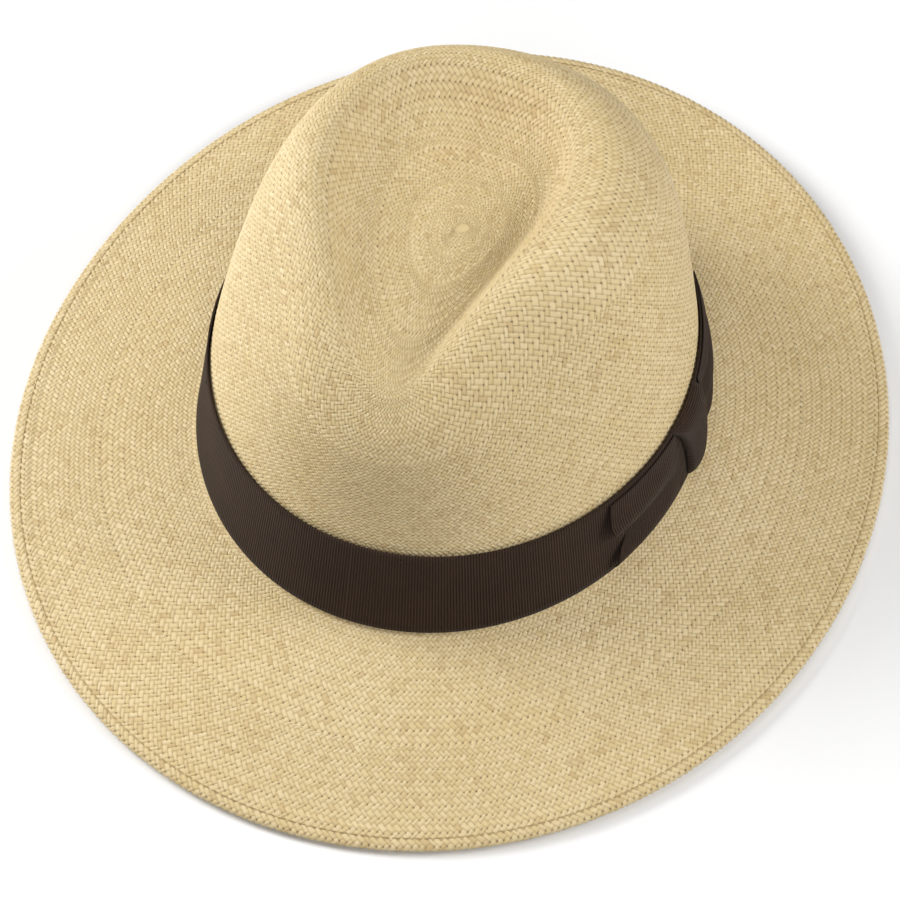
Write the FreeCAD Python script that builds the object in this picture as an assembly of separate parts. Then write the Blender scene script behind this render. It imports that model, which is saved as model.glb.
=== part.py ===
import FreeCAD, Part
import math
import os

# Panama hat, in millimetres. +Z is up, the wearer's front is -Y and the wearer's left, where the
# bow sits, is +X. The hat stands on its brim on Z = 0.

doc = FreeCAD.newDocument("panama_hat")
sheet = doc.addObject("Spreadsheet::Sheet", "Sizes")

# ---------------------------------------------------------------- driving dimensions
sizes = {
    # opening and brim
    "opening_half_width": 89.0,
    "opening_half_length": 103.0,
    "opening_height": 21.9,
    "opening_shift": -2.05,
    "brim_front": 78.0,
    "brim_side": 71.5,
    "brim_back": 80.0,
    "brim_drop_front": 14.4,
    "brim_drop_side": 13.8,
    "brim_drop_back": 5.2,
    "break_radius": 3.0,
    "straw_thickness": 1.6,
    "hem_thickness": 2.6,
    "hem_width": 9.0,
    "hem_stitch_inset": 5.0,
    "thread_diameter": 0.5,
    # how far the crown's wall leans in over the ribbon's height
    "lean_front": 7.6,
    "lean_side": 4.4,
    "lean_back": 4.6,
    "lean_height": 36.0,
    # where the two front pinches are, and how wide they and the dip at the back are, in degrees
    "pinch_angle": 58.0,
    "pinch_width": 20.0,
    "dip_width": 26.0,
    # ribbon and bow
    "ribbon_bottom": 2.2,
    "ribbon_top": 36.5,
    "ribbon_gap": 0.4,
    "ribbon_thickness": 0.8,
    "wing_gap": 0.5,
    "wing_thickness": 2.2,
    "wing_bottom": 4.0,
    "wing_top": 35.5,
    "front_wing_end": 61.0,
    "knot_front": 84.0,
    "knot_rear": 98.0,
    "rear_wing_end": 126.0,
    "wing_clearance": 1.2,
    "knot_thickness": 3.6,
    # sweatband and what is sewn to it
    "band_gap": 1.2,
    "band_thickness": 1.0,
    "band_bottom": 4.0,
    "band_top": 36.0,
    "reed_diameter": 2.0,
    "reed_inset": 2.0,
    "reed_height": 0.6,
    "tape_thickness": 0.35,
    "tape_top": 12.0,
    "tag_width": 14.0,
    "tag_height": 20.0,
    "tag_thickness": 0.3,
}
for row, (alias, value) in enumerate(sizes.items(), start=1):
    sheet.set("A%d" % row, alias)
    sheet.set("B%d" % row, str(value))
    sheet.setAlias("B%d" % row, alias)

# The crown, as rings from its middle out to the wall. Each ring is an oval with a half width, an
# egg factor that narrows its front, a reach to front and back, three heights over the opening, the
# sideways shift that the hand-blocked dent has, the depth of the two front pinches, and how far the
# middle of the back dips.
crownColumns = ["width", "egg", "front", "back", "zfront", "zside", "zback", "shift", "pinch", "dip"]
crownRings = {
    "tip": [2.0, 0.0, 2.0, 2.0, 95.5, 95.5, 95.5, 2.0, 0.0, 0.0],
    "floor": [16.0, 0.1, 24.0, 20.0, 94.0, 95.0, 95.5, 0.0, 0.0, 1.0],
    "dent": [28.0, 0.3, 55.0, 43.0, 88.0, 92.5, 97.0, -5.0, 0.0, 7.0],
    "inner": [34.0, 0.4, 67.5, 56.0, 85.0, 104.0, 108.5, -8.0, 0.0, 5.0],
    "rim": [42.0, 0.3, 70.5, 64.5, 82.5, 114.0, 114.5, -8.0, 2.0, 2.0],
    "shoulder": [57.5, 0.14, 79.5, 72.0, 75.5, 112.0, 107.5, -3.0, 7.5, 0.0],
    "upper": [71.5, 0.06, 85.5, 87.5, 62.0, 92.5, 93.5, 0.0, 7.5, 0.0],
    "middle": [79.0, 0.01, 90.0, 95.5, 48.0, 66.0, 68.0, 0.0, 2.0, 0.0],
}
row = len(sizes) + 2
for ringName, values in crownRings.items():
    for column, value in zip(crownColumns, values):
        sheet.set("A%d" % row, ringName + "_" + column)
        sheet.set("B%d" % row, str(value))
        sheet.setAlias("B%d" % row, ringName + "_" + column)
        row += 1
doc.recompute()


def size(alias):
    return float(sheet.get(alias))


ANGLES = 64
angles = [2 * math.pi * k / ANGLES for k in range(ANGLES)]
zOpening = size("opening_height")


# ---------------------------------------------------------------- the hat's own geometry
def frontShare(angle):
    """Angle 0 is the front; returns the shares of front, side and back at an angle."""
    c = math.cos(angle)
    front = max(c, 0.0) ** 2
    back = max(-c, 0.0) ** 2
    return front, 1.0 - front - back, back


def mixed(angle, front, side, back):
    f, s, b = frontShare(angle)
    return f * front + s * side + b * back


def opening(angle):
    """Point of the opening's oval and its outward direction, in plan."""
    a = size("opening_half_width")
    b = size("opening_half_length")
    y = size("opening_shift") - b * math.cos(angle)
    point = FreeCAD.Vector(a * math.sin(angle), y, 0)
    outward = FreeCAD.Vector(b * math.sin(angle), -a * math.cos(angle), 0)
    return point, outward.normalize()


def wallPoint(angle, height, out):
    """Point on the straight lower wall of the crown, moved outward by out."""
    point, outward = opening(angle)
    lean = mixed(angle, size("lean_front"), size("lean_side"), size("lean_back"))
    moved = point + outward * (out - lean * height / size("lean_height"))
    return FreeCAD.Vector(moved.x, moved.y, zOpening + height)


def wallRing(height, out):
    return [wallPoint(angle, height, out) for angle in angles]


def near(angle, degrees, width):
    """1 at an angle given in degrees, falling off over a width in degrees."""
    gap = math.remainder(angle - math.radians(degrees), 2 * math.pi)
    return math.exp(-((gap / math.radians(width)) ** 2))


def crownRing(ringName):
    values = {}
    for column in crownColumns:
        values[column] = size(ringName + "_" + column)
    middle = (values["front"] + values["back"]) / 2
    skew = (values["front"] - values["back"]) / 2
    pinchAngle = size("pinch_angle")
    pinchWidth = size("pinch_width")
    ring = []
    for angle in angles:
        s = math.sin(angle)
        c = math.cos(angle)
        x = values["width"] * s * (1 - values["egg"] * c)
        x += mixed(angle, 0, values["shift"], values["shift"])
        y = size("opening_shift") - (middle * c + skew * c * c)
        z = zOpening + mixed(angle, values["zfront"], values["zside"], values["zback"])
        z -= values["dip"] * near(angle, 180, size("dip_width"))
        hollow = near(angle, pinchAngle, pinchWidth) + near(angle, -pinchAngle, pinchWidth)
        inward = opening(angle)[1] * (-values["pinch"] * hollow)
        ring.append(FreeCAD.Vector(x, y, z) + inward)
    return ring


def brimPoint(angle, share, inset=0.0):
    """Point on the brim's top, share 0 at the break and 1 at the edge."""
    point, outward = opening(angle)
    width = mixed(angle, size("brim_front"), size("brim_side"), size("brim_back"))
    drop = math.radians(
        mixed(angle, size("brim_drop_front"), size("brim_drop_side"), size("brim_drop_back"))
    )
    along = width * share - inset
    moved = point + outward * (along * math.cos(drop))
    return FreeCAD.Vector(moved.x, moved.y, zOpening - along * math.sin(drop))


def brimRing(share, inset=0.0):
    return [brimPoint(angle, share, inset) for angle in angles]


# ---------------------------------------------------------------- skins made of rings
def skin(rings):
    """A face through rings of points, closed round the hat; three or fewer rings give flat runs."""
    count = len(rings)
    degree = 3 if count > 3 else 1
    poles = []
    for k in range(ANGLES):
        poles.append([rings[i][k] for i in range(count)])
    innerKnots = count - degree - 1
    knots = list(range(innerKnots + 2))
    mults = [degree + 1] + [1] * innerKnots + [degree + 1]
    surface = Part.BSplineSurface()
    aroundMults = [1] * (ANGLES + 1)
    aroundKnots = list(range(ANGLES + 1))
    surface.buildFromPolesMultsKnots(
        poles, aroundMults, mults, aroundKnots, knots, True, False, 3, degree
    )
    return surface.toShape()


def solidOf(faces):
    shell = Part.Shell(faces)
    shell.sewShape()
    solid = Part.Solid(shell)
    if solid.Volume < 0:
        solid.reverse()
    return solid


def hoop(*corners):
    """A closed hoop whose cross-section has the given rings as its corners."""
    faces = []
    for i, ring in enumerate(corners):
        faces.append(skin([ring, corners[(i + 1) % len(corners)]]))
    return solidOf(faces)


def roundHoop(centre, radius, sides=10):
    """A thread or tube that follows a ring of centres, with a round cross-section."""
    corners = []
    for i in range(sides):
        turn = 2 * math.pi * i / sides
        corner = []
        for k, angle in enumerate(angles):
            outward = opening(angle)[1]
            lift = FreeCAD.Vector(0, 0, radius * math.sin(turn))
            corner.append(centre[k] + outward * (radius * math.cos(turn)) + lift)
        corners.append(corner)
    return hoop(*corners)


def thickened(rings, thicknesses):
    """The rings moved to the skin's inner side, each by its own thickness."""
    inner = []
    last = len(rings) - 1
    for i, ring in enumerate(rings):
        before = rings[max(i - 1, 0)]
        after = rings[min(i + 1, last)]
        moved = []
        for k in range(ANGLES):
            across = after[k] - before[k]
            around = ring[(k + 1) % ANGLES] - ring[k - 1]
            inward = around.cross(across).normalize()
            if i == 0:
                inward = FreeCAD.Vector(0, 0, -1)
            moved.append(ring[k] + inward * thicknesses[i])
        inner.append(moved)
    return inner


def wedge(startDegrees, endDegrees):
    """A tall wedge from the hat's axis, used to cut a length out of a hoop."""
    reach = 400
    corners = [FreeCAD.Vector(0, 0, -50)]
    for degrees in (startDegrees, (startDegrees + endDegrees) / 2, endDegrees):
        # the hoop's angle is measured on its oval, so the same oval gives the direction
        point = opening(math.radians(degrees))[0]
        direction = FreeCAD.Vector(point.x, point.y, 0).normalize() * reach
        corners.append(FreeCAD.Vector(direction.x, direction.y, -50))
    corners.append(corners[0])
    return Part.Face(Part.makePolygon(corners)).extrude(FreeCAD.Vector(0, 0, 300))


def addNode(label, shape, placement=FreeCAD.Placement()):
    node = doc.addObject("Part::Feature", label)
    node.Label = label
    node.Shape = shape
    node.Placement = placement
    return node


# ---------------------------------------------------------------- straw body
thickness = size("straw_thickness")
radius = size("break_radius")
crownTop = [crownRing(ringName) for ringName in crownRings]
crownWall = [wallRing(size("lean_height"), 0), wallRing(18, 0), wallRing(radius * 1.7, 0)]
breakRings = [wallRing(radius * 0.1, radius * 0.1), brimRing(0.0, -radius * 1.7)]
brimRings = [brimRing(share) for share in (0.35, 0.65)]
brimRings.append(brimRing(1.0, size("hem_width")))
brimRings.append(brimRing(1.0, size("hem_width") * 0.6))
brimRings.append(brimRing(1.0))
outerRings = crownTop + crownWall + breakRings + brimRings
thicknesses = [thickness] * (len(outerRings) - 2) + [size("hem_thickness")] * 2
innerRings = thickened(outerRings, thicknesses)
outerFace = skin(outerRings)
innerFace = skin(innerRings)
edgeFace = skin([outerRings[-1], innerRings[-1]])


def tipDisc(face):
    """The small flat disc that closes a skin at the crown's middle."""
    rims = [edge for edge in face.Edges if edge.isClosed()]
    rims.sort(key=lambda edge: edge.Length)
    return Part.Face(Part.Wire(rims[0]))


strawBody = solidOf([outerFace, innerFace, edgeFace, tipDisc(outerFace), tipDisc(innerFace)])
addNode("straw_body", strawBody)

# ---------------------------------------------------------------- hem stitching
threadRadius = size("thread_diameter") / 2
seam = brimRing(1.0, size("hem_stitch_inset"))
seamLift = FreeCAD.Vector(0, 0, threadRadius + 0.12)
addNode("brim_hem_stitching", roundHoop([p + seamLift for p in seam], threadRadius, 6))

# ---------------------------------------------------------------- ribbon and its tacks
ribbonIn = size("ribbon_gap")
ribbonOut = ribbonIn + size("ribbon_thickness")
ribbonFlare = 0.5
bottom = size("ribbon_bottom")
top = size("ribbon_top")
addNode(
    "hat_ribbon",
    hoop(
        wallRing(bottom, ribbonIn + ribbonFlare),
        wallRing(top, ribbonIn),
        wallRing(top, ribbonOut),
        wallRing(bottom, ribbonOut + ribbonFlare),
    ),
)
tackAngles = [12, 150, 205, 250, 300, 340]
tacks = []
for degrees in tackAngles:
    angle = math.radians(degrees)
    start = wallPoint(angle, top - 2.5, ribbonOut + threadRadius + 0.1)
    outward = opening(angle)[1]
    along = FreeCAD.Vector(-outward.y, outward.x, 0)
    tacks.append(Part.makeCylinder(threadRadius, 2.4, start, along))
addNode("ribbon_tacks", Part.makeCompound(tacks))

# ---------------------------------------------------------------- bow
wingIn = ribbonOut + size("wing_gap")
wingOut = wingIn + size("wing_thickness")
clearance = size("wing_clearance")
wingLow = size("wing_bottom")
wingHigh = size("wing_top")
wingHoop = hoop(
    wallRing(wingLow, wingIn + ribbonFlare),
    wallRing(wingHigh, wingIn),
    wallRing(wingHigh, wingOut),
    wallRing(wingLow, wingOut + ribbonFlare),
)
knotHoop = hoop(
    wallRing(bottom, ribbonOut + 0.15 + ribbonFlare),
    wallRing(top, ribbonOut + 0.15),
    wallRing(top, ribbonOut + size("knot_thickness")),
    wallRing(bottom, ribbonOut + size("knot_thickness") + ribbonFlare),
)
sideArc = math.radians(1) * size("opening_half_length")
knotFront = size("knot_front")
knotRear = size("knot_rear")
clearanceDegrees = clearance / sideArc
frontWing = wingHoop.common(wedge(size("front_wing_end"), knotFront - clearanceDegrees))
rearWing = wingHoop.common(wedge(knotRear + clearanceDegrees, size("rear_wing_end")))
addNode("bow_front_wing", frontWing.Solids[0])
addNode("bow_rear_wing", rearWing.Solids[0])
addNode("bow_knot", knotHoop.common(wedge(knotFront, knotRear)).Solids[0])

# ---------------------------------------------------------------- sweatband, reed and tape
# Heights here are over the opening and distances run inward from the straw's outer wall.
inside = thickness + 0.25
bandIn = inside + size("band_gap")
bandOut = bandIn + size("band_thickness")
bandLow = size("band_bottom")
bandHigh = size("band_top")
addNode(
    "sweatband",
    hoop(
        wallRing(bandLow, -bandIn),
        wallRing(bandHigh, -bandIn),
        wallRing(bandHigh, -bandOut),
        wallRing(bandLow, -bandOut),
    ),
)
reedRadius = size("reed_diameter") / 2
tape = size("tape_thickness")
reedCentre = inside + size("reed_inset")
reedHeight = size("reed_height")
addNode("sweatband_reed", roundHoop(wallRing(reedHeight, -reedCentre), reedRadius, 12))

# The tape runs up behind the sweatband and is folded round under the reed.
fold = reedRadius + 0.15
tailIn = inside + 0.2
tailOut = tailIn + tape
foldOut = reedCentre + fold
foldLow = reedHeight - fold
foldHigh = reedHeight + reedRadius
addNode(
    "reed_tape",
    hoop(
        wallRing(size("tape_top"), -tailIn),
        wallRing(size("tape_top"), -tailOut),
        wallRing(foldLow, -tailOut),
        wallRing(foldLow, -foldOut),
        wallRing(foldHigh, -foldOut),
        wallRing(foldHigh, -(foldOut + tape)),
        wallRing(foldLow - tape, -(foldOut + tape)),
        wallRing(foldLow - tape, -tailIn),
    ),
)
stitchCentre = bandOut + threadRadius + 0.1
addNode(
    "sweatband_stitching",
    roundHoop(wallRing(bandLow + 2.5, -stitchCentre), threadRadius, 6),
)

# ---------------------------------------------------------------- rear bow and size tag
def insideStrip(startDegrees, endDegrees, low, high, depth):
    """A strip that lies on the sweatband's inner face."""
    near = bandOut + 0.15
    strip = hoop(
        wallRing(low, -near),
        wallRing(high, -near),
        wallRing(high, -(near + depth)),
        wallRing(low, -(near + depth)),
    )
    return strip.common(wedge(startDegrees, endDegrees)).Solids[0]


bowLow = bandLow + 5
leftLoop = insideStrip(172.5, 179.5, bowLow, bowLow + 7, 0.9)
rightLoop = insideStrip(180.5, 187.5, bowLow, bowLow + 7, 0.9)
middleKnot = insideStrip(178.6, 181.4, bowLow + 1, bowLow + 6, 1.6)
rearBow = middleKnot.fuse([leftLoop, rightLoop])
addNode("sweatband_bow", rearBow.Solids[0])

# The tag stands between the straw and the sweatband, sewn in with the tape's edge above it.
tagIn = inside + 0.5
tagHoop = hoop(
    wallRing(bandHigh - 2 - size("tag_height"), -tagIn),
    wallRing(bandHigh - 2, -tagIn),
    wallRing(bandHigh - 2, -(tagIn + size("tag_thickness"))),
    wallRing(bandHigh - 2 - size("tag_height"), -(tagIn + size("tag_thickness"))),
)
tagTurn = math.degrees(size("tag_width") / size("opening_half_length"))
addNode("size_tag", tagHoop.common(wedge(200 - tagTurn / 2, 200 + tagTurn / 2)).Solids[0])

# ---------------------------------------------------------------- check and write
doc.recompute()
nodes = [item for item in doc.Objects if item.TypeId != "Spreadsheet::Sheet"]
for item in doc.Objects:
    if "Invalid" in item.State or "Error" in item.State:
        raise RuntimeError("failed object: " + item.Label)
for node in nodes:
    if node.Shape.isNull() or not node.Shape.isValid():
        raise RuntimeError("bad shape: " + node.Label)
os.makedirs("parts", exist_ok=True)
for node in nodes:
    node.Shape.exportStep("parts/" + node.Label + ".step")
    print(node.Label, len(node.Shape.Solids), round(node.Shape.Volume, 1), node.Shape.BoundBox)
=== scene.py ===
import math

import bpy
import numpy as np
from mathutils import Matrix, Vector


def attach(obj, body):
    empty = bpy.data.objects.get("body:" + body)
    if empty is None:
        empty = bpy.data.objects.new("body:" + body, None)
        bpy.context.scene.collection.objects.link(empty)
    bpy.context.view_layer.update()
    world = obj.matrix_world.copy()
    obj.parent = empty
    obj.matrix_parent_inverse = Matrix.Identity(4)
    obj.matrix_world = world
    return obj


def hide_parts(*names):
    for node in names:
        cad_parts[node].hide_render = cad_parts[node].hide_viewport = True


# Panama hat. Sizes below are in millimetres and become metres when a mesh is made.
# Angle 0 is the wearer's front (-Y) and grows towards the wearer's left (+X), where the bow is.

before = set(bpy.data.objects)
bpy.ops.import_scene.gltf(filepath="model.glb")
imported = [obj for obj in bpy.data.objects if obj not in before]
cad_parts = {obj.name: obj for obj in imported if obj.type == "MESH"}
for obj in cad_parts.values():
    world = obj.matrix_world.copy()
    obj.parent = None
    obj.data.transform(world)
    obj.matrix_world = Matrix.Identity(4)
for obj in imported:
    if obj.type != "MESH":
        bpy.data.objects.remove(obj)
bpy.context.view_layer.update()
noise = np.random.default_rng(7)
mm = 0.001
turn = 2 * math.pi
scene = bpy.context.scene

hat = {
    "halfWidth": 89.0, "halfLength": 103.0, "height": 21.9, "shift": -2.05,
    "brimWidth": (78.0, 71.5, 80.0), "brimDrop": (14.4, 13.8, 5.2),
    "lean": (7.6, 4.4, 4.6), "leanHeight": 36.0,
    "break": 3.0, "cage": 64,
}
crownRings = [
    # half width, egg, front, back, heights over the opening at front, side and back, shift, pinch, dip
    (2.0, 0.0, 2.0, 2.0, 95.5, 95.5, 95.5, 2.0, 0.0, 0.0),
    (16.0, 0.1, 24.0, 20.0, 94.0, 95.0, 95.5, 0.0, 0.0, 1.0),
    (28.0, 0.3, 55.0, 43.0, 88.0, 92.5, 97.0, -5.0, 0.0, 7.0),
    (34.0, 0.4, 67.5, 56.0, 85.0, 104.0, 108.5, -8.0, 0.0, 5.0),
    (42.0, 0.3, 70.5, 64.5, 82.5, 114.0, 114.5, -8.0, 2.0, 2.0),
    (57.5, 0.14, 79.5, 72.0, 75.5, 112.0, 107.5, -3.0, 7.5, 0.0),
    (71.5, 0.06, 85.5, 87.5, 62.0, 92.5, 93.5, 0.0, 7.5, 0.0),
    (79.0, 0.01, 90.0, 95.5, 48.0, 66.0, 68.0, 0.0, 2.0, 0.0),
]
pinched = {"at": 58.0, "width": 20.0, "dipWidth": 26.0}


# a value given at the front, sides and back, blended round the hat
def mixed(angle, front, side, back):
    c = np.cos(angle)
    f = np.maximum(c, 0) ** 2
    b = np.maximum(-c, 0) ** 2
    return f * front + (1 - f - b) * side + b * back


def opening(angle):
    # the line where crown meets brim, and the way out from it
    angle = np.asarray(angle, float)
    a, b = hat["halfWidth"], hat["halfLength"]
    flat = np.zeros_like(angle)
    point = np.stack([a * np.sin(angle), hat["shift"] - b * np.cos(angle), flat], -1)
    outward = np.stack([b * np.sin(angle), -a * np.cos(angle), flat], -1)
    return point, outward / np.linalg.norm(outward, axis=-1, keepdims=True)


def wall(angle, height, out):
    point, outward = opening(angle)
    lean = mixed(angle, *hat["lean"])
    reach = out - lean * height / hat["leanHeight"]
    moved = point + outward * np.asarray(reach)[..., None]
    moved[..., 2] = hat["height"] + height
    return moved


def brim(angle, share, inset=0.0, below=0.0):
    point, outward = opening(angle)
    drop = np.radians(mixed(angle, *hat["brimDrop"]))
    along = mixed(angle, *hat["brimWidth"]) * share - inset
    moved = point + outward * (along * np.cos(drop))[..., None]
    moved[..., 2] = hat["height"] - along * np.sin(drop) - below
    return moved


def near(angle, degrees, width):
    gap = np.remainder(angle - math.radians(degrees) + math.pi, turn) - math.pi
    return np.exp(-(gap / math.radians(width)) ** 2)


def crown(angle, ring):
    width, egg, front, back, zFront, zSide, zBack, shift, pinch, dip = ring
    s, c = np.sin(angle), np.cos(angle)
    x = width * s * (1 - egg * c) + mixed(angle, 0, shift, shift)
    y = hat["shift"] - ((front + back) / 2 * c + (front - back) / 2 * c * c)
    z = hat["height"] + mixed(angle, zFront, zSide, zBack) - dip * near(angle, 180, pinched["dipWidth"])
    hollow = near(angle, pinched["at"], pinched["width"]) + near(angle, -pinched["at"], pinched["width"])
    return np.stack([x, y, z], -1) - opening(angle)[1] * (pinch * hollow)[:, None]


cageAngles = turn * np.arange(hat["cage"]) / hat["cage"]
r = hat["break"]
bodyCage = [crown(cageAngles, ring) for ring in crownRings]
wallPath = [(36, 0), (18, 0), (r * 1.7, 0), (r * 0.1, r * 0.1)]  # height, out
bodyCage += [wall(cageAngles, height, 0 * cageAngles + out) for height, out in wallPath]
bodyCage.append(brim(cageAngles, 0.0, -r * 1.7))
bodyCage += [brim(cageAngles, share) for share in (0.35, 0.65)]
# the brim's last stretch: inset from the edge and depth, over the edge and back under itself
hemPath = [
    (14, 0), (10, 0), (7, 0), (5.7, 0.1), (5.1, 0.25), (4.5, 0.1), (3.0, 0.0),
    (1.5, 0.2), (0.8, 1.0), (1.4, 1.9), (3.0, 2.2), (5, 2.2), (7.5, 2.0),
]
bodyCage += [brim(cageAngles, 1.0, inset, below) for inset, below in hemPath]
bodyCage = np.array(bodyCage)


def ringWeights(v, spans):
    # cubic spline weights of four neighbouring rings, with the first and last ring held
    knots = np.concatenate([np.zeros(3), np.arange(spans + 1.0), np.full(3, float(spans))])
    span = np.clip(np.floor(v).astype(int), 0, spans - 1) + 3
    weights = [np.ones_like(v)]
    left, right = [None], [None]
    for step in range(1, 4):
        left.append(v - knots[span + 1 - step])
        right.append(knots[span + step] - v)
        saved, grown = 0.0, []
        for k in range(step):
            part = weights[k] / (right[k + 1] + left[step - k])
            grown.append(saved + right[k + 1] * part)
            saved = left[step - k] * part
        weights = grown + [saved]
    return span - 3, weights


def surface(cage, angle, v):
    # the smooth skin that the cage of rings draws: closed round the hat, open from tip to hem
    u = np.asarray(angle) / turn * hat["cage"]
    k = np.floor(u).astype(int)
    t = u - k
    round4 = [(1 - t) ** 3 / 6, (3 * t ** 3 - 6 * t * t + 4) / 6,
              (-3 * t ** 3 + 3 * t * t + 3 * t + 1) / 6, t ** 3 / 6]
    first, across4 = ringWeights(np.asarray(v, float), len(cage) - 3)
    total = np.zeros(np.shape(u) + (3,))
    for i in range(4):
        for j in range(4):
            pole = cage[first + i, (k - 1 + j) % hat["cage"]]
            total += (across4[i] * round4[j])[..., None] * pole
    return total


def makeMesh(name, points, faces, uvs, material, uvName):
    mesh = bpy.data.meshes.new(name)
    mesh.from_pydata((points * mm).tolist(), [], faces)
    layer = mesh.uv_layers.new(name=uvName)
    layer.data.foreach_set("uv", np.asarray(uvs, np.float32).ravel())
    mesh.polygons.foreach_set("use_smooth", [True] * len(mesh.polygons))
    mesh.materials.append(material)
    piece = bpy.data.objects.new(name, mesh)
    scene.collection.objects.link(piece)
    return piece


def gridPiece(name, points, uvs, material, wrapAlong=False, wrapAcross=False):
    # points run (along, across); uvs has one more row or column where the grid wraps
    nA, nB = points.shape[:2]
    lastA = nA if wrapAlong else nA - 1
    lastB = nB if wrapAcross else nB - 1
    faces, loops = [], []
    for a in range(lastA):
        for b in range(lastB):
            faces.append([a * nB + b, (a + 1) % nA * nB + b,
                          (a + 1) % nA * nB + (b + 1) % nB, a * nB + (b + 1) % nB])
            loops += [uvs[a, b], uvs[a + 1, b], uvs[a + 1, b + 1], uvs[a, b + 1]]
    return makeMesh(name, points.reshape(-1, 3), faces, loops, material, "cloth")


def solidify(piece, thickness, offset=-1):
    shell = piece.modifiers.new("thickness", "SOLIDIFY")
    shell.thickness = thickness * mm
    shell.offset = offset
    return shell


def smooth(piece):
    rounded = piece.modifiers.new("smooth", "SUBSURF")
    rounded.levels = 1
    rounded.render_levels = 1


def finishPiece(piece, node, body="hat"):
    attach(piece, body)
    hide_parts(node)


# short ways to add and join shader nodes
class Net:
    def __init__(self, tree):
        self.tree = tree

    def node(self, kind, **settings):
        n = self.tree.nodes.new(kind)
        for key, value in settings.items():
            setattr(n, key, value)
        return n

    def link(self, value, socket):
        if isinstance(value, (int, float, tuple)):
            socket.default_value = value
        else:
            self.tree.links.new(value, socket)

    def math(self, operation, a, b=0.0, c=0.0, clamp=False):
        n = self.node("ShaderNodeMath", operation=operation, use_clamp=clamp)
        for value, socket in zip((a, b, c), n.inputs):
            self.link(value, socket)
        return n.outputs[0]

    def span(self, value, low, high, toLow=0.0, toHigh=1.0):
        n = self.node("ShaderNodeMapRange", interpolation_type="SMOOTHSTEP")
        ends = {"Value": value, "From Min": low, "From Max": high, "To Min": toLow, "To Max": toHigh}
        for key, given in ends.items():
            self.link(given, n.inputs[key])
        return n.outputs[0]

    def mix(self, factor, a, b):
        n = self.node("ShaderNodeMix", data_type="RGBA", blend_type="MIX")
        self.link(factor, n.inputs[0])
        self.link(a, n.inputs[6])
        self.link(b, n.inputs[7])
        return n.outputs[2]

    def vector(self, x, y, z=0.0):
        n = self.node("ShaderNodeCombineXYZ")
        for value, socket in zip((x, y, z), n.inputs):
            self.link(value, socket)
        return n.outputs[0]

    def random(self, x, y, z=0.0):
        n = self.node("ShaderNodeTexWhiteNoise", noise_dimensions="3D")
        self.link(self.vector(x, y, z), n.inputs["Vector"])
        return n.outputs["Value"]

    def cloud(self, vector, scale, detail=3.0):
        n = self.node("ShaderNodeTexNoise")
        self.link(vector, n.inputs["Vector"])
        n.inputs["Scale"].default_value = scale
        n.inputs["Detail"].default_value = detail
        return n.outputs["Fac"]


def newGroup(name, inputs, outputs):
    group = bpy.data.node_groups.new(name, "ShaderNodeTree")
    for title, kind in inputs:
        group.interface.new_socket(title, in_out="INPUT", socket_type=kind)
    for title, kind in outputs:
        group.interface.new_socket(title, in_out="OUTPUT", socket_type=kind)
    net = Net(group)
    return group, net, net.node("NodeGroupInput"), net.node("NodeGroupOutput")


def newMaterial(name):
    material = bpy.data.materials.new(name)
    material.use_nodes = True
    net = Net(material.node_tree)
    return material, net, material.node_tree.nodes["Principled BSDF"]


def linear(r8, g8, b8):
    # a colour in 0 to 255 steps, as the shader wants it
    def one(c):
        c /= 255
        return c / 12.92 if c <= 0.04045 else ((c + 0.055) / 1.055) ** 2.4
    return (one(r8), one(g8), one(b8), 1.0)


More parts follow.
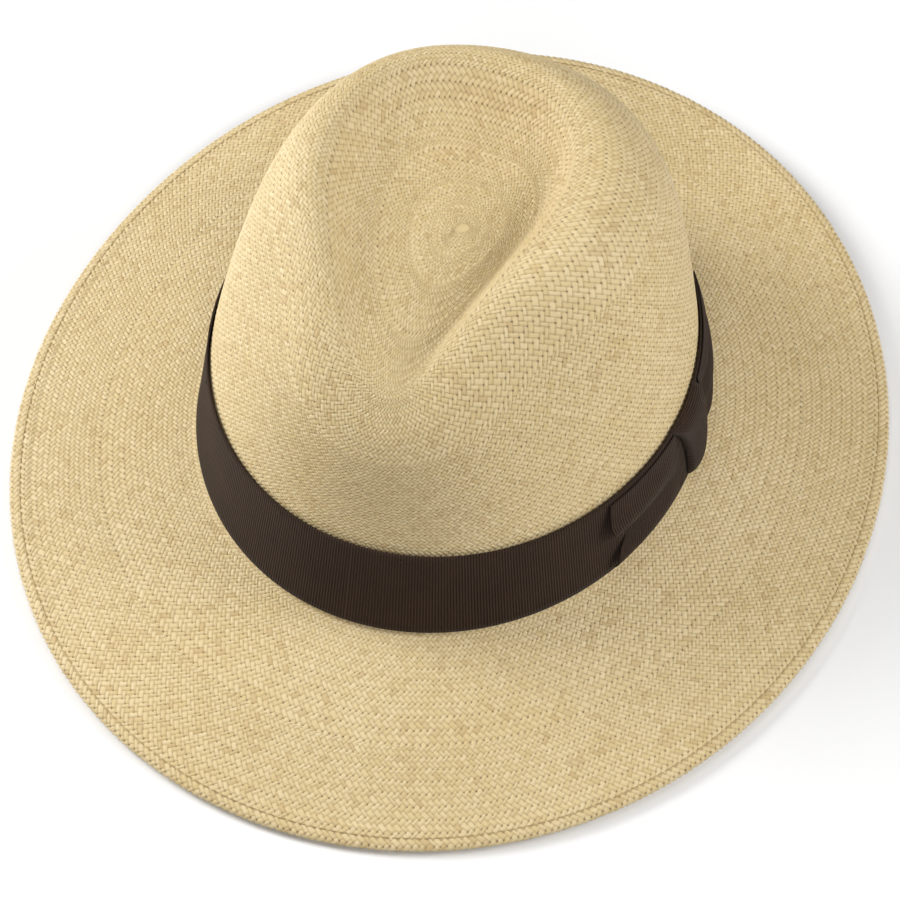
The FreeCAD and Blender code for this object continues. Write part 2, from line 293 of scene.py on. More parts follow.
def makeWeaveGroup():
    group, net, start, end = newGroup(
        "strawWeave", [("Strands", "NodeSocketVector")],
        [(title, "NodeSocketFloat") for title in ("Tint", "Fleck", "EdgeShade", "HoleShade", "Grain", "Height")])
    parts = net.node("ShaderNodeSeparateXYZ")
    net.link(start.outputs[0], parts.inputs[0])
    i, j = parts.outputs[0], parts.outputs[1]
    fi, fj = net.math("FLOOR", i), net.math("FLOOR", j)
    ui, uj = net.math("SUBTRACT", i, fi), net.math("SUBTRACT", j, fj)
    # over two and under two: the pattern of a cell comes back after four strands
    diagonal = net.math("ADD", net.math("SUBTRACT", fi, fj), 0.5)
    phase = net.math("FLOORED_MODULO", diagonal, 4.0)
    firstOnTop = net.math("LESS_THAN", phase, 2.0)
    odd = net.math("GREATER_THAN", net.math("FLOORED_MODULO", phase, 2.0), 1.0)
    even = net.math("SUBTRACT", 1.0, odd)

    def pick(a, b):
        return net.math("ADD", net.math("MULTIPLY", firstOnTop, a),
                        net.math("MULTIPLY", net.math("SUBTRACT", 1.0, firstOnTop), b))

    across = pick(ui, uj)
    along = net.math("MULTIPLY", 0.5, pick(net.math("ADD", uj, even), net.math("ADD", ui, odd)))
    sideways = net.math("ABSOLUTE", net.math("SUBTRACT", across, 0.5))
    lengthways = net.math("ABSOLUTE", net.math("SUBTRACT", along, 0.5))
    strand = pick(fi, fj)
    segment = net.math("FLOOR", net.math("MULTIPLY", pick(fj, fi), 0.07))
    tint = net.random(strand, segment, firstOnTop)
    floatNumber = net.math("FLOOR", net.math("MULTIPLY", diagonal, 0.25))
    fleck = net.random(strand, floatNumber, net.math("ADD", firstOnTop, 7.3))
    side = net.span(sideways, 0.3, 0.5)
    tail = net.span(lengthways, 0.33, 0.5)
    # painted shade: float sides and ends darken where a float dips under the crossing straw
    edge = net.math("MAXIMUM", net.math("MULTIPLY", side, 0.7), tail)
    cornerI = net.math("ABSOLUTE", net.math("SUBTRACT", ui, 0.5))
    cornerJ = net.math("ABSOLUTE", net.math("SUBTRACT", uj, 0.5))
    # the gaps between straws open at every other corner, and widest at every fourth
    nearI = net.math("FLOOR", net.math("ADD", i, 0.5))
    nearJ = net.math("FLOOR", net.math("ADD", j, 0.5))
    corner = net.math("SUBTRACT", net.math("ADD", nearI, 0.5), nearJ)
    which = net.math("FLOORED_MODULO", corner, 4.0)
    wide = net.math("LESS_THAN", which, 1.0)
    narrow = net.math("MULTIPLY", net.math("GREATER_THAN", which, 2.0), net.math("LESS_THAN", which, 3.0))
    size = net.math("ADD", wide, net.math("MULTIPLY", narrow, 0.35))
    chance = net.math("ADD", 0.25, net.math("MULTIPLY", net.random(fi, fj, 3.1), 0.75))
    reach = net.span(net.math("MINIMUM", cornerI, cornerJ), 0.18, 0.46)
    # painted shade in the open gaps between straws; the gaps are real, their darkness is shade
    holeShade = net.math("MULTIPLY", net.math("MULTIPLY", size, chance), reach)
    stretched = net.vector(net.math("MULTIPLY", across, 5.0), net.math("MULTIPLY", along, 0.7), strand)
    fibre = net.cloud(stretched, 2.2, 2.0)
    crest = net.math("SUBTRACT", 1.0, net.math("MULTIPLY", net.math("MULTIPLY", sideways, sideways), 3.0))
    fibrous = net.math("ADD", crest, net.math("MULTIPLY", fibre, 0.3))
    height = net.math("SUBTRACT", fibrous, net.math("MULTIPLY", tail, 0.6))
    for value, socket in zip((tint, fleck, edge, holeShade, fibre, height), end.inputs):
        net.link(value, socket)
    return group


def makeRibGroup():
    group, net, start, end = newGroup(
        "grosgrainRibs", [("Place", "NodeSocketVector"), ("Pitch", "NodeSocketFloat")],
        [("Rib", "NodeSocketFloat"), ("Thread", "NodeSocketFloat")])
    parts = net.node("ShaderNodeSeparateXYZ")
    net.link(start.outputs[0], parts.inputs[0])
    count = net.math("DIVIDE", parts.outputs[0], start.outputs[1])
    wave = net.math("SINE", net.math("MULTIPLY", count, turn))
    rib = net.math("ADD", net.math("MULTIPLY", wave, 0.5), 0.5)
    weftRow = net.math("FLOOR", net.math("MULTIPLY", parts.outputs[1], 2.4))
    thread = net.random(net.math("FLOOR", count), weftRow, 1.0)
    net.link(rib, end.inputs[0])
    net.link(thread, end.inputs[1])
    return group


weaveGroup = makeWeaveGroup()
ribGroup = makeRibGroup()


def uvPlace(net, uvName):
    return net.node("ShaderNodeUVMap", uv_map=uvName).outputs[0]


def addBump(net, shader, height, strength, distance):
    bump = net.node("ShaderNodeBump")
    bump.inputs["Strength"].default_value = strength
    bump.inputs["Distance"].default_value = distance
    net.link(height, bump.inputs["Height"])
    net.link(bump.outputs[0], shader.inputs["Normal"])


def makeStraw():
    material, net, shader = newMaterial("wovenStraw")
    look = {
        "pale": linear(232, 213, 170), "middle": linear(214, 191, 139), "brown": linear(184, 152, 98),
        "gap": linear(84, 60, 32), "shade": linear(160, 129, 78),
    }
    weave = net.node("ShaderNodeGroup", node_tree=weaveGroup)
    net.link(uvPlace(net, "weave"), weave.inputs[0])
    place = net.node("ShaderNodeTexCoord").outputs["Object"]
    broad = net.cloud(place, 14.0, 3.0)
    tinted = net.math("MULTIPLY", weave.outputs["Tint"], 0.5)
    flecked = net.math("MULTIPLY", weave.outputs["Fleck"], 0.45)
    patched = net.math("MULTIPLY", net.math("SUBTRACT", broad, 0.5), 0.9)
    tone = net.math("ADD", net.math("ADD", tinted, flecked), patched)
    colour = net.mix(net.math("ADD", tone, 0.05, clamp=True), look["middle"], look["pale"])
    brownish = net.span(weave.outputs["Fleck"], 0.84, 1.0, 0.0, 0.5)
    colour = net.mix(brownish, colour, look["brown"])
    colour = net.mix(net.math("MULTIPLY", weave.outputs["Grain"], 0.22), colour, look["brown"])
    # painted shade along float sides and ends
    colour = net.mix(net.math("MULTIPLY", weave.outputs["EdgeShade"], 0.4), colour, look["shade"])
    # painted shade: the open gaps between straws darkened to the gap colour
    colour = net.mix(net.math("MULTIPLY", weave.outputs["HoleShade"], 0.95), colour, look["gap"])
    net.link(colour, shader.inputs["Base Color"])
    rough = net.math("ADD", 0.46, net.math("MULTIPLY", weave.outputs["Fleck"], 0.16))
    net.link(rough, shader.inputs["Roughness"])
    shader.inputs["Specular IOR Level"].default_value = 0.35
    addBump(net, shader, weave.outputs["Height"], 0.8, 0.00032)
    return material


def makeGrosgrain():
    material, net, shader = newMaterial("grosgrain")
    look = {"deep": linear(24, 16, 10), "light": linear(86, 65, 51), "pitch": 1.05}
    ribs = net.node("ShaderNodeGroup", node_tree=ribGroup)
    net.link(uvPlace(net, "cloth"), ribs.inputs[0])
    ribs.inputs[1].default_value = look["pitch"]
    place = net.node("ShaderNodeTexCoord").outputs["Object"]
    broad = net.cloud(place, 30.0, 3.0)
    rib, thread = ribs.outputs["Rib"], ribs.outputs["Thread"]
    # painted shade and highlight: rib crests lighter and grooves darker; thread adds real variation from
    # thread to thread
    ribShadeAndThread = net.math("ADD", net.math("MULTIPLY", rib, 0.5), net.math("MULTIPLY", thread, 0.14))
    patched = net.math("MULTIPLY", net.math("SUBTRACT", broad, 0.5), 0.35)
    tone = net.math("ADD", ribShadeAndThread, patched, clamp=True)
    net.link(net.mix(tone, look["deep"], look["light"]), shader.inputs["Base Color"])
    net.link(net.math("ADD", 0.72, net.math("MULTIPLY", thread, 0.16)), shader.inputs["Roughness"])
    shader.inputs["Specular IOR Level"].default_value = 0.15
    shader.inputs["Sheen Weight"].default_value = 0.06
    shader.inputs["Sheen Roughness"].default_value = 0.4
    addBump(net, shader, net.math("ADD", rib, net.math("MULTIPLY", thread, 0.15)), 0.8, 0.0003)
    return material


def makeThread(name, tone):
    material, net, shader = newMaterial(name)
    place = net.node("ShaderNodeTexCoord").outputs["Object"]
    ply = net.cloud(place, 900.0, 2.0)
    dark = tuple(c * 0.6 for c in tone[:3]) + (1.0,)
    net.link(net.mix(ply, dark, tone), shader.inputs["Base Color"])
    net.link(net.math("ADD", 0.6, net.math("MULTIPLY", ply, 0.2)), shader.inputs["Roughness"])
    addBump(net, shader, ply, 0.4, 0.0002)
    return material


def makeLeather():
    material, net, shader = newMaterial("bandLeather")
    look = {"dark": linear(128, 84, 50), "light": linear(170, 122, 80), "crease": linear(88, 54, 30)}
    place = net.node("ShaderNodeTexCoord").outputs["Object"]
    pebble = net.node("ShaderNodeTexVoronoi", feature="DISTANCE_TO_EDGE")
    net.link(place, pebble.inputs["Vector"])
    pebble.inputs["Scale"].default_value = 900.0
    crease = net.span(pebble.outputs["Distance"], 0.0, 0.12)
    broad = net.cloud(place, 40.0, 4.0)
    colour = net.mix(broad, look["dark"], look["light"])
    # painted shade: the creases of the grain darkened towards the crease colour
    creaseShade = net.math("MULTIPLY", net.math("SUBTRACT", 1.0, crease), 0.35)
    colour = net.mix(creaseShade, colour, look["crease"])
    net.link(colour, shader.inputs["Base Color"])
    net.link(net.math("ADD", 0.38, net.math("MULTIPLY", broad, 0.2)), shader.inputs["Roughness"])
    addBump(net, shader, net.math("ADD", crease, broad), 0.35, 0.0003)
    return material


def makeTape():
    material, net, shader = newMaterial("cottonTape")
    look = {"dark": linear(176, 154, 118), "light": linear(218, 200, 166), "thread": 0.6}
    parts = net.node("ShaderNodeSeparateXYZ")
    net.link(uvPlace(net, "cloth"), parts.inputs[0])
    warp = net.math("SINE", net.math("MULTIPLY", parts.outputs[0], turn / look["thread"]))
    weft = net.math("SINE", net.math("MULTIPLY", parts.outputs[1], turn / look["thread"]))
    cross = net.math("ADD", net.math("MULTIPLY", net.math("MULTIPLY", warp, weft), 0.5), 0.5)
    net.link(net.mix(cross, look["dark"], look["light"]), shader.inputs["Base Color"])
    net.link(net.math("ADD", 0.78, net.math("MULTIPLY", cross, 0.1)), shader.inputs["Roughness"])
    addBump(net, shader, cross, 0.6, 0.0002)
    return material


def makePlain(name, first, second, rough, scale):
    material, net, shader = newMaterial(name)
    place = net.node("ShaderNodeTexCoord").outputs["Object"]
    grain = net.cloud(place, scale, 5.0)
    net.link(net.mix(grain, first, second), shader.inputs["Base Color"])
    net.link(net.math("ADD", rough, net.math("MULTIPLY", grain, 0.15)), shader.inputs["Roughness"])
    addBump(net, shader, grain, 0.15, 0.0002)
    return material


straw = makeStraw()
grosgrain = makeGrosgrain()
strawThread = makeThread("strawThread", linear(200, 174, 126))
darkThread = makeThread("darkThread", linear(52, 40, 32))
tanThread = makeThread("tanThread", linear(196, 160, 112))
leather = makeLeather()
cottonTape = makeTape()
reedPlastic = makePlain("reedPlastic", linear(214, 206, 184), linear(228, 222, 204), 0.3, 60.0)
card = makePlain("card", linear(226, 221, 208), linear(240, 236, 226), 0.75, 400.0)
print("materials made")

# woven straw: relief and thickness in millimetres, the rest as shares of a strand or of the relief
weaving = {
    "relief": 0.5, "thickness": 1.0, "wander": 0.1, "uneven": 0.05,
    "top": 1.0, "middle": 0.84, "rim": 0.6, "cap": 0.5, "side": 0.42, "tail": 0.2,
    "calmRows": 3.0, "heights": 24, "seam": 20.088,
}
measured = {"along": 900, "around": 96, "ring": 600}  # how finely the skin is measured


def ringTable(cage):
    # how far it is round the hat, and how far from the tip, for every place down the skin
    count = measured["around"]
    v = np.linspace(0, len(cage) - 3, measured["along"])
    angle = turn * (np.arange(count) + 0.5) / count
    grid = surface(cage, np.tile(angle, (len(v), 1)), np.repeat(v[:, None], count, 1))
    around = np.linalg.norm(np.roll(grid, -1, 1) - grid, axis=2).sum(1)
    steps = np.linalg.norm(np.diff(grid, axis=0), axis=2).mean(1)
    return v, around, np.concatenate([[0], np.cumsum(steps)])


bodyTable = ringTable(bodyCage)


def atRadius(radius):
    v, around, _ = bodyTable
    return float(np.interp(radius * turn, np.maximum.accumulate(around), v))


def lattice(strands, vStart, vEnd):
    # strands of two spiral families cross; points sit on their half-cell lattice
    v, aroundTable, length = bodyTable
    within = np.linspace(vStart, vEnd, measured["ring"])
    around = np.interp(within, v, aroundTable)
    along = np.interp(within, v, length)
    cells = np.diff(along) * strands / ((around[1:] + around[:-1]) / 2)
    turned = np.concatenate([[0], np.cumsum(cells)])
    rows = max(int(round(turned[-1] * 4)), 4)
    row = np.repeat(np.arange(rows + 1), 2 * strands).reshape(rows + 1, -1)
    s = np.tile(np.arange(2 * strands), (rows + 1, 1)) + (row % 2) * 0.5
    d = row * 0.5
    i2 = np.rint(s + d).astype(int)
    j2 = np.rint(s - d).astype(int)
    # each strand wanders a little as a whole
    wanders = noise.normal(0, weaving["wander"], (2, strands))

    def shifted(values, doubled):
        return (values[(doubled // 2) % strands] + values[((doubled + 1) // 2) % strands]) / 2

    di, dj = shifted(wanders[0], i2), shifted(wanders[1], j2)
    calm = np.minimum(np.minimum(row, rows - row) / weaving["calmRows"], 1.0)
    angle = turn * (s + (di + dj) * calm) / (2 * strands)
    share = (d + (di - dj) * calm) / 2 / (rows / 4)
    points = surface(bodyCage, angle, np.interp(share * turned[-1], turned, within))
    # how high each point stands in a twill that goes over two and under two
    cell = (i2 // 2 - j2 // 2) % 4
    oddI, oddJ = i2 % 2 == 1, j2 % 2 == 1
    lift = np.where(oddI & oddJ, weaving["middle"], 0.0)
    side, tail, top = weaving["side"], weaving["tail"], weaving["top"]
    lift = np.where(~oddI & oddJ, np.choose(cell, [tail, side, tail, top]), lift)
    lift = np.where(oddI & ~oddJ, np.choose(cell, [top, tail, side, tail]), lift)
    lift = np.clip(lift + noise.normal(0, weaving["uneven"], lift.shape), 0, 1)
    rim = (row == 0) | (row == rows)
    lift = np.where(rim, weaving["rim"], lift)
    return {"strands": strands, "rows": rows, "points": points, "lift": lift}


def cut(whole, start, end, first):
    # the part of a lattice between two of its rows, as faces with their strand coordinates
    n = 2 * whole["strands"]
    k = np.arange(n)

    def ringOf(row, m):
        return np.stack([0 * m + row, m], 1)

    blocks = []
    for row in range(start, end - 1):
        minus = k - 1 if row % 2 == 0 else k
        cell = [ringOf(row, k), ringOf(row + 1, minus), ringOf(row + 2, k), ringOf(row + 1, minus + 1)]
        blocks.append(np.stack(cell, 1))
    nextTo = k if start % 2 == 0 else k + 1
    lastTo = k if end % 2 == 0 else k + 1
    closing = [np.stack([ringOf(start, k), ringOf(start + 1, nextTo), ringOf(start, k + 1)], 1),
               np.stack([ringOf(end, k + 1), ringOf(end - 1, lastTo), ringOf(end, k)], 1)]
    faces, uvs = [], []
    for block in [np.concatenate(blocks)] + closing:
        row, m = block[..., 0], block[..., 1]
        faces += (first + (row - start) * n + m % n).tolist()
        s, d = m + (row % 2) * 0.5, row * 0.5
        uvs.append(np.stack([(s + d) / 2, (s - d) / 2], -1).reshape(-1, 2))
    points = whole["points"][start:end + 1].reshape(-1, 3)
    lift = whole["lift"][start:end + 1].ravel()
    return points, faces, np.concatenate(uvs), lift


def wovenPiece(name, cuts, cap=False, closed=False):
    points, faces, uvs, lifts, first = [], [], [], [], 0
    for whole, start, end in cuts:
        newPoints, newFaces, newUvs, newLifts = cut(whole, start, end, first)
        points.append(newPoints)
        faces += newFaces
        uvs.append(newUvs)
        lifts.append(newLifts)
        first += len(newPoints)
    if cap:
        n = 2 * cuts[0][0]["strands"]
        points.append(points[0][:n].mean(0, keepdims=True))
        lifts.append(np.array([weaving["cap"]]))
        faces += [[first, k, (k + 1) % n] for k in range(n)]
        uvs.append(np.tile([[0.5, 0.5], [0.2, 0.5], [0.5, 0.2]], (n, 1)))
    points, lifts = np.concatenate(points), np.concatenate(lifts)
    piece = makeMesh(name, points, faces, np.concatenate(uvs), straw, "weave")
    group = piece.vertex_groups.new(name="relief")
    heights = weaving["heights"]
    levels = np.rint(lifts * heights).astype(int)
    for level in range(1, heights + 1):
        chosen = np.flatnonzero(levels == level).tolist()
        if chosen:
            group.add(chosen, level / heights, "REPLACE")
    relief = piece.modifiers.new("relief", "DISPLACE")
    relief.vertex_group = "relief"
    relief.direction = "NORMAL"
    relief.mid_level = 0.0
    relief.strength = weaving["relief"] * mm
    solidify(piece, weaving["thickness"]).use_rim = closed
    finishPiece(piece, "straw_body")
    print(name, len(faces), "faces")


def splitPieces(whole, names):
    marks = [round(whole["rows"] * k / len(names)) for k in range(len(names) + 1)]
    for k, name in enumerate(names):
        wovenPiece(name, [(whole, marks[k], marks[k + 1])])


def rowAt(whole, distance):
    # the row whose mean distance from the lattice's last row is nearest to this
    steps = np.linalg.norm(np.diff(whole["points"][:, 0], axis=0), axis=1)
    left = steps.sum() - np.concatenate([[0], np.cumsum(steps)])
    return int(np.argmin(np.abs(left - distance)))


# strands are added in rings as the hat widens: radius where each ring starts, and its strands
growth = [(0, 20), (5, 32), (10, 54), (19, 92), (34, 144), (55, 196), (75, 256), (98, 350), (135, 450)]
starts = [0.0] + [atRadius(radius) for radius, _ in growth[1:]] + [float(len(bodyCage) - 3)]
rings = [lattice(strands, starts[k], starts[k + 1]) for k, (_, strands) in enumerate(growth)]
wovenPiece("straw_tip", [(rings[k], 0, rings[k]["rows"]) for k in range(4)], cap=True)
splitPieces(rings[4], ["straw_dent"])
splitPieces(rings[5], ["straw_crest"])
splitPieces(rings[6], ["straw_wall_upper", "straw_wall_middle", "straw_wall_lower", "straw_wall_base",
                       "straw_brim_inner"])
splitPieces(rings[7], ["straw_brim_middle"])
seamRow = rowAt(rings[8], weaving["seam"])
wovenPiece("straw_brim_outer", [(rings[8], 0, seamRow)])
wovenPiece("straw_brim_hem", [(rings[8], seamRow, rings[8]["rows"])], closed=True)

# stitches
stitchTube = {"sides": 6, "steps": 6, "taper": [0.35, 0.85, 1, 1, 0.85, 0.35], "distance": 130}


def stitches(name, angles, place, size, material, node):
    # each stitch is a small bowed tube; place(angle) gives its point
    sides, steps = stitchTube["sides"], stitchTube["steps"]
    points, faces, uvs = [], [], []
    for angle in angles:
        half = size["length"] / 2 / stitchTube["distance"]
        ts = np.linspace(-1, 1, steps)
        centre = place(angle + ts * half)
        bow = np.sqrt(np.maximum(1 - ts ** 2, 0)) * size["rise"]
        centre[:, 2] += bow * size.get("up", 1.0)
        outward = opening(angle)[1]
        centre += outward * (bow * size.get("out", 0.0))[:, None]
        tangent = np.gradient(centre, axis=0)
        tangent /= np.linalg.norm(tangent, axis=1, keepdims=True)
        sideways = np.cross(tangent, np.tile([0, 0, 1.0], (steps, 1)))
        sideways /= np.maximum(np.linalg.norm(sideways, axis=1, keepdims=True), 1e-6)
        upward = np.cross(sideways, tangent)
        radius = size["radius"] * np.array(stitchTube["taper"])
        first = len(points)
        for k in range(steps):
            for q in range(sides):
                a = turn * q / sides
                points.append(centre[k] + (sideways[k] * math.cos(a) + upward[k] * math.sin(a)) * radius[k])
        for k in range(steps - 1):
            here, there = first + k * sides, first + (k + 1) * sides
            for q in range(sides):
                nextQ = (q + 1) % sides
                faces.append([here + q, here + nextQ, there + nextQ, there + q])
                uvs += [(k, q), (k, q + 1), (k + 1, q + 1), (k + 1, q)]
        faces.append([first + q for q in range(sides - 1, -1, -1)])
        faces.append([first + (steps - 1) * sides + q for q in range(sides)])
        uvs += [(0, 0)] * (2 * sides)
    piece = makeMesh(name, np.array(points), faces, uvs, material, "cloth")
    finishPiece(piece, node)


def evenly(count):
    return turn * (np.arange(count) + 0.5) / count


hemThread = {"length": 2.2, "rise": 0.24, "radius": 0.2, "count": 300, "inset": 5.0, "below": -0.05}
stitches("hem_stitches", evenly(hemThread["count"]),
         lambda a: brim(a, 1.0, hemThread["inset"], hemThread["below"]),
         hemThread, strawThread, "brim_hem_stitching")
tack = {
    "length": 2.6, "rise": 0.25, "radius": 0.22, "up": 0.0, "out": 1.0,
    "at": [12, 150, 205, 250, 300, 340], "height": 34.0, "reach": 1.3,
}
stitches("ribbon_stitches", np.radians(tack["at"]),
         lambda a: wall(a, tack["height"], 0 * a + tack["reach"]),
         tack, darkThread, "ribbon_tacks")
print("straw and stitches made")

# hat ribbon
def lengthAlong(line):
    steps = np.linalg.norm(np.diff(line, axis=0), axis=1)
    return np.concatenate([[0], np.cumsum(steps)])


def arc(angles):
    return lengthAlong(opening(angles)[0])


def hoopPiece(name, profile, material, wrap=False):
    # profile: (height, out) pairs swept round the hat
    columns = 360
    angles = turn * np.arange(columns + 1) / columns
    start = 0 * angles[:-1]
    profile = np.array(profile, float)
    grid = np.stack([wall(angles[:-1], start + height, start + out) for height, out in profile], 1)
    ringed = np.concatenate([profile, profile[:1]]) if wrap else profile
    across = lengthAlong(ringed)
    uvs = np.stack(np.meshgrid(arc(angles), across, indexing="ij"), -1)
    return gridPiece(name, grid, uvs, material, wrapAlong=True, wrapAcross=wrap)


ribbon = {
    "low": 2.0, "high": 36.6, "out": 1.2, "flare": 0.5, "thickness": 0.7,
    "selvedge": 0.12, "rows": 15,
}
ribbonProfile = []
for share in np.linspace(0, 1, ribbon["rows"]):
    height = ribbon["low"] + (ribbon["high"] - ribbon["low"]) * share
    selvedge = ribbon["selvedge"] if share in (0.0, 1.0) else 0.0
    ribbonProfile.append((height, ribbon["out"] + ribbon["flare"] * (1 - share) + selvedge))
hatRibbon = hoopPiece("ribbon_round", ribbonProfile, grosgrain)
solidify(hatRibbon, ribbon["thickness"])
finishPiece(hatRibbon, "hat_ribbon")

# bow: angles in degrees round the hat, from root to free end
bow = {
    "root": 83.6, "free": 61.2, "rear": 98.5, "rearEnd": 127.0,
    "out": 2.05, "flare": 0.5, "low": 4.5, "thickness": 0.6,
}


def ribbonPanel(name, shape, columns, rows, node, bodyName, turned=False):
    # share runs along the ribbon and b across it, both from 0 to 1
    b = np.linspace(0, 1, rows)
    grid = np.zeros((columns, rows, 3))
    for k, share in enumerate(np.linspace(0, 1, columns)):
        angles = np.radians(shape["angle"](share, b))
        low = shape["low"](share)
        heights = low + (shape["high"] - low) * b
        grid[k] = wall(angles, heights, shape["out"](share, b))
    lengthways = lengthAlong(grid[:, rows // 2])
    crossways = lengthAlong(grid[columns // 2])
    u, w = np.meshgrid(lengthways, crossways, indexing="ij")
    uvs = np.stack([w, u], -1) if turned else np.stack([u, w], -1)
    if shape["angle"](1, b[:1])[0] < shape["angle"](0, b[:1])[0]:
        grid, uvs = grid[::-1], uvs[::-1]  # so that the faces point outwards
    piece = gridPiece(name, grid, uvs, grosgrain)
    solidify(piece, bow["thickness"])
    smooth(piece)
    finishPiece(piece, node, bodyName)
    return piece


def wave(b, centre, width, height):
    return height * np.exp(-((b - centre) / width) ** 2)


def frontOut(share, b):
    # three soft pleats that open towards the free end
    opened = (0.35 + 0.65 * share ** 1.3) * (1 - 0.85 * math.exp(-(share / 0.14) ** 2))
    shape = wave(b, 0.68, 0.18, 3.9) + wave(b, 0.12, 0.11, 2.8) - wave(b, 0.37, 0.09, 1.3)
    root = 0.5 * math.exp(-(share / 0.18) ** 2) * wave(b, 0.5, 0.4, 1.0)
    return bow["out"] + bow["flare"] * (1 - b) + opened * shape + root


def frontAngle(share, b):
    end = bow["free"] + wave(b, 0.74, 0.17, -1.8) + wave(b, 0.35, 0.11, 4.0) + wave(b, 0.05, 0.12, -0.8)
    return bow["root"] + (end - bow["root"]) * share


frontShape = {"angle": frontAngle, "out": frontOut, "low": lambda s: bow["low"] + 1.0 * (1 - s), "high": 35.0}
frontWing = ribbonPanel("bow_front_upper", frontShape, 26, 34, "bow_front_wing", "front_wing")


def rearOut(share, b):
    # flat where it is drawn in under the knot, full just past it, flat again at the end
    closing = (1 - 0.68 * share ** 1.7) * (1 - 0.85 * math.exp(-(share / 0.13) ** 2))
    pleats = wave(b, 0.84, 0.09, 1.6) + wave(b, 0.5, 0.13, 3.0) + wave(b, 0.16, 0.13, 2.2)
    pleats -= wave(b, 0.69, 0.04, 1.5)
    return bow["out"] + bow["flare"] * (1 - b) + pleats * closing


def rearAngle(share, b):
    return bow["rear"] + (bow["rearEnd"] - wave(b, 0.2, 0.3, 3.0) - bow["rear"]) * share


rearShape = {"angle": rearAngle, "out": rearOut, "low": lambda s: bow["low"] + 3.0 * s ** 2, "high": 35.4}
rearWing = ribbonPanel("bow_rear_panel", rearShape, 28, 34, "bow_rear_wing", "rear_wing")


def knotAngle(share, b):
    front = 88.0 - 6.0 * b ** 3
    back = 94.0 + 17.0 * b - 14.0 * b ** 2
    return front + (back - front) * share


def knotOut(share, b):
    rolled = (4 * share * (1 - share)) ** 0.35
    body = (1.8 + 3.9 * rolled) * (1 - np.abs(2 * b - 1) ** 9 * 0.85)
    return body + bow["flare"] * (1 - b)


knotShape = {"angle": knotAngle, "out": knotOut, "low": lambda s: 2.0, "high": 37.2}
knot = ribbonPanel("bow_knot_wrap", knotShape, 20, 24, "bow_knot", "hat", turned=True)
print("ribbon and bow made")

# inside: depths in from the line of the crown's wall
inside = {"in": 1.85, "gap": 1.2, "low": 4.0, "high": 36.0, "leather": 0.8, "proud": 0.9, "rows": 12}
bandOut = inside["in"] + inside["gap"]
leatherProfile = []
for share in np.linspace(1, 0, inside["rows"]):
    height = inside["low"] + (inside["high"] - inside["low"]) * share
    rolled = 0.35 * max(0, 0.12 - share) / 0.12 - 0.25 * max(0, share - 0.9) / 0.1
    leatherProfile.append((height, -(bandOut + inside["proud"] + rolled)))
sweatband = hoopPiece("sweatband_leather", leatherProfile, leather)
solidify(sweatband, inside["leather"])
finishPiece(sweatband, "sweatband")

reedRod = {"height": 0.6, "depth": 2.0, "radius": 1.0, "sides": 12}
reedProfile = []
for k in range(reedRod["sides"]):
    a = turn * k / reedRod["sides"]
    height = reedRod["height"] + reedRod["radius"] * math.sin(a)
    reedProfile.append((height, -(inside["in"] + reedRod["depth"]) + reedRod["radius"] * math.cos(a)))
reed = hoopPiece("sweatband_reed_rod", reedProfile, reedPlastic, wrap=True)
finishPiece(reed, "sweatband_reed")

# the tape hangs from the wall, runs under the reed and comes up on its inner side
tapeProfile = [
    (12.0, -2.1), (6.0, -2.1), (2.0, -2.15), (0.4, -2.3), (-0.5, -2.9),
    (-0.85, -3.85), (-0.5, -4.8), (0.4, -5.3), (1.6, -5.35), (2.4, -5.3),
]
tapeThickness = 0.3
tape = hoopPiece("reed_tape_fold", tapeProfile, cottonTape)
solidify(tape, tapeThickness, 0)
finishPiece(tape, "reed_tape")

bandThread = {
    "length": 2.4, "rise": 0.25, "radius": 0.2, "up": 0.0, "out": -1.0,
    "count": 190, "height": 6.5, "depth": 4.15,
}
stitches("band_stitches", evenly(bandThread["count"]),
         lambda a: wall(a, 0 * a + bandThread["height"], 0 * a - bandThread["depth"]),
         bandThread, tanThread, "sweatband_stitching")

smallBow = {
    "at": 180, "height": 12.5, "thickness": 0.2,
    "leftLoop": (172.6, 179.6), "rightLoop": (180.4, 187.4), "loopDepth": 4.55,
    "knotTurn": 1.3, "knotDepth": 5.1, "knotBulge": 0.75, "knotHalf": 2.2,
}


def finishSmallBow(name, grid, uvs):
    piece = gridPiece(name, grid, uvs, grosgrain, wrapAlong=True)
    solidify(piece, smallBow["thickness"], 0)
    smooth(piece)
    finishPiece(piece, "sweatband_bow")


def bowLoop(name, start, end):
    # a flattened loop of narrow ribbon lying on the sweatband
    columns, rows = 20, 7
    middle, half = (start + end) / 2, (end - start) / 2
    b = np.linspace(-1, 1, rows)
    grid = np.zeros((columns, rows, 3))
    for k, t in enumerate(np.arange(columns) / columns * turn):
        degrees = middle + half * math.cos(t)
        bulge = 0.42 * (1 + math.sin(t)) * abs(math.sin(t)) ** 0.3
        tall = 1.2 + 2.1 * abs(degrees - smallBow["at"]) / 7.5
        heights = smallBow["height"] + b * tall
        depth = smallBow["loopDepth"] + bulge
        grid[k] = wall(np.radians(np.full(rows, degrees)), heights, np.full(rows, -depth))
    u, w = np.meshgrid(np.arange(columns + 1) * 0.9, np.linspace(0, 6, rows), indexing="ij")
    finishSmallBow(name, grid, np.stack([u, w], -1))


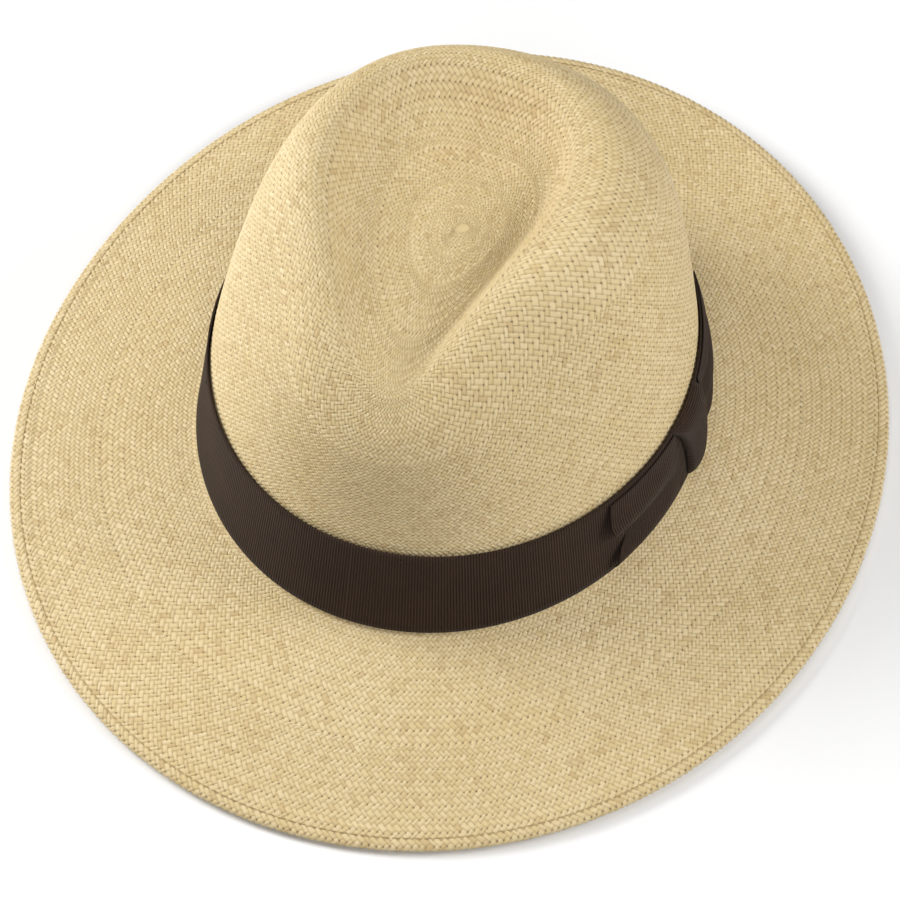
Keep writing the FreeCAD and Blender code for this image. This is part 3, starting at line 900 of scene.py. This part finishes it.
def bowKnot(name):
    columns, rows = 14, 6
    b = np.linspace(-1, 1, rows)
    grid = np.zeros((columns, rows, 3))
    for k, t in enumerate(np.arange(columns) / columns * turn):
        degrees = smallBow["at"] + smallBow["knotTurn"] * math.cos(t)
        depth = smallBow["knotDepth"] + smallBow["knotBulge"] * math.sin(t)
        heights = smallBow["height"] + b * smallBow["knotHalf"]
        grid[k] = wall(np.radians(np.full(rows, degrees)), heights, np.full(rows, -depth))
    u, w = np.meshgrid(np.arange(columns + 1) * 0.5, np.linspace(0, 4.4, rows), indexing="ij")
    finishSmallBow(name, grid, np.stack([w, u], -1))


bowLoop("small_bow_left", *smallBow["leftLoop"])
bowLoop("small_bow_right", *smallBow["rightLoop"])
bowKnot("small_bow_knot")

tagCard = {
    "from": 196.2, "to": 203.8, "low": 14.2, "high": 33.8, "depth": 2.45,
    "columns": 12, "rows": 10, "wide": 14, "tall": 20, "thickness": 0.3, "edge": 0.08,
}
tagAngles = np.radians(np.linspace(tagCard["from"], tagCard["to"], tagCard["columns"]))
tagHeights = np.linspace(tagCard["low"], tagCard["high"], tagCard["rows"])
tagDepths = 0 * tagAngles - tagCard["depth"]
grid = np.stack([wall(tagAngles, 0 * tagAngles + height, tagDepths) for height in tagHeights], 1)
u, w = np.meshgrid(np.linspace(0, tagCard["wide"], tagCard["columns"]),
                   np.linspace(0, tagCard["tall"], tagCard["rows"]), indexing="ij")
tag = gridPiece("size_tag_card", grid, np.stack([u, w], -1), card)
solidify(tag, tagCard["thickness"])
edge = tag.modifiers.new("edge", "BEVEL")
edge.width = tagCard["edge"] * mm
finishPiece(tag, "size_tag")
print("inside made")

# floor, light and camera
floorMaterial, floorNet, floorShader = newMaterial("paleFloor")
floorShader.inputs["Base Color"].default_value = (0.93, 0.93, 0.93, 1)
floorShader.inputs["Roughness"].default_value = 0.9
floorMesh = bpy.data.meshes.new("floor")
floorHalf, floorDrop = 6, 0.0006
corners = [(x * floorHalf, y * floorHalf, 0) for x, y in ((-1, -1), (1, -1), (1, 1), (-1, 1))]
floorMesh.from_pydata(corners, [], [[0, 1, 2, 3]])
floorMesh.materials.append(floorMaterial)
floor = bpy.data.objects.new("floor", floorMesh)
scene.collection.objects.link(floor)
floor.location.z = -floorDrop

world = bpy.data.worlds.new("studio")
scene.world = world
world.use_nodes = True
world.node_tree.nodes["Background"].inputs[0].default_value = (1.0, 0.99, 0.97, 1)
# the backdrop looks pale behind the table but adds little to the light
sky = Net(world.node_tree)
seen = sky.node("ShaderNodeLightPath").outputs["Is Camera Ray"]
skyLight = {"seen": 0.9, "given": 0.03}
strength = sky.math("ADD", sky.math("MULTIPLY", seen, skyLight["seen"]), skyLight["given"])
sky.link(strength, world.node_tree.nodes["Background"].inputs[1])


lampAim = Vector((0, 0, 0.05))


def softbox(name, position, side, power):
    light = bpy.data.lights.new(name, "AREA")
    light.shape = "RECTANGLE"
    light.size = side
    light.size_y = side
    light.energy = power
    lamp = bpy.data.objects.new(name, light)
    scene.collection.objects.link(lamp)
    lamp.location = position
    aim = lampAim - Vector(position)
    lamp.rotation_euler = aim.to_track_quat("-Z", "Y").to_euler()


softbox("key", (-1.0, -0.1, 0.9), 0.6, 11.4)
softbox("lowKey", (-1.25, 0.1, 0.4), 0.6, 7.2)
softbox("overhead", (0.0, 0.1, 1.4), 0.8, 4.2)
softbox("fill", (1.1, 0.2, 0.8), 0.6, 10.4)
softbox("front", (0.4, -1.1, 1.0), 0.6, 5.8)

scene.view_settings.view_transform = "Standard"
camera = bpy.data.cameras.new("camera")
eye = bpy.data.objects.new("camera", camera)
scene.collection.objects.link(eye)
scene.camera = eye
shot = {
    "azimuth": 19.8, "elevation": 53.0, "roll": 1.5, "distance": 1131.9,
    "sensor": 36.0, "lens": 124.824, "shiftX": -0.0035, "shiftY": -0.0588, "near": 0.05, "far": 30,
}
az, el, roll = (math.radians(shot[k]) for k in ("azimuth", "elevation", "roll"))
back = Vector((math.sin(az) * math.cos(el), -math.cos(az) * math.cos(el), math.sin(el)))
right = Vector((math.cos(az), math.sin(az), 0))
up = back.cross(right)
camX = right * math.cos(roll) + up * math.sin(roll)
camY = up * math.cos(roll) - right * math.sin(roll)
target = Vector((0, hat["shift"], hat["height"])) * mm
eye.location = target + back * shot["distance"] * mm
axes = eye.matrix_world.to_3x3()
axes.col[0], axes.col[1], axes.col[2] = camX, camY, back
eye.rotation_euler = axes.to_euler()
camera.sensor_width = shot["sensor"]
camera.lens = shot["lens"]
camera.shift_x = shot["shiftX"]
camera.shift_y = shot["shiftY"]
camera.clip_start = shot["near"]
camera.clip_end = shot["far"]
print("stage made")
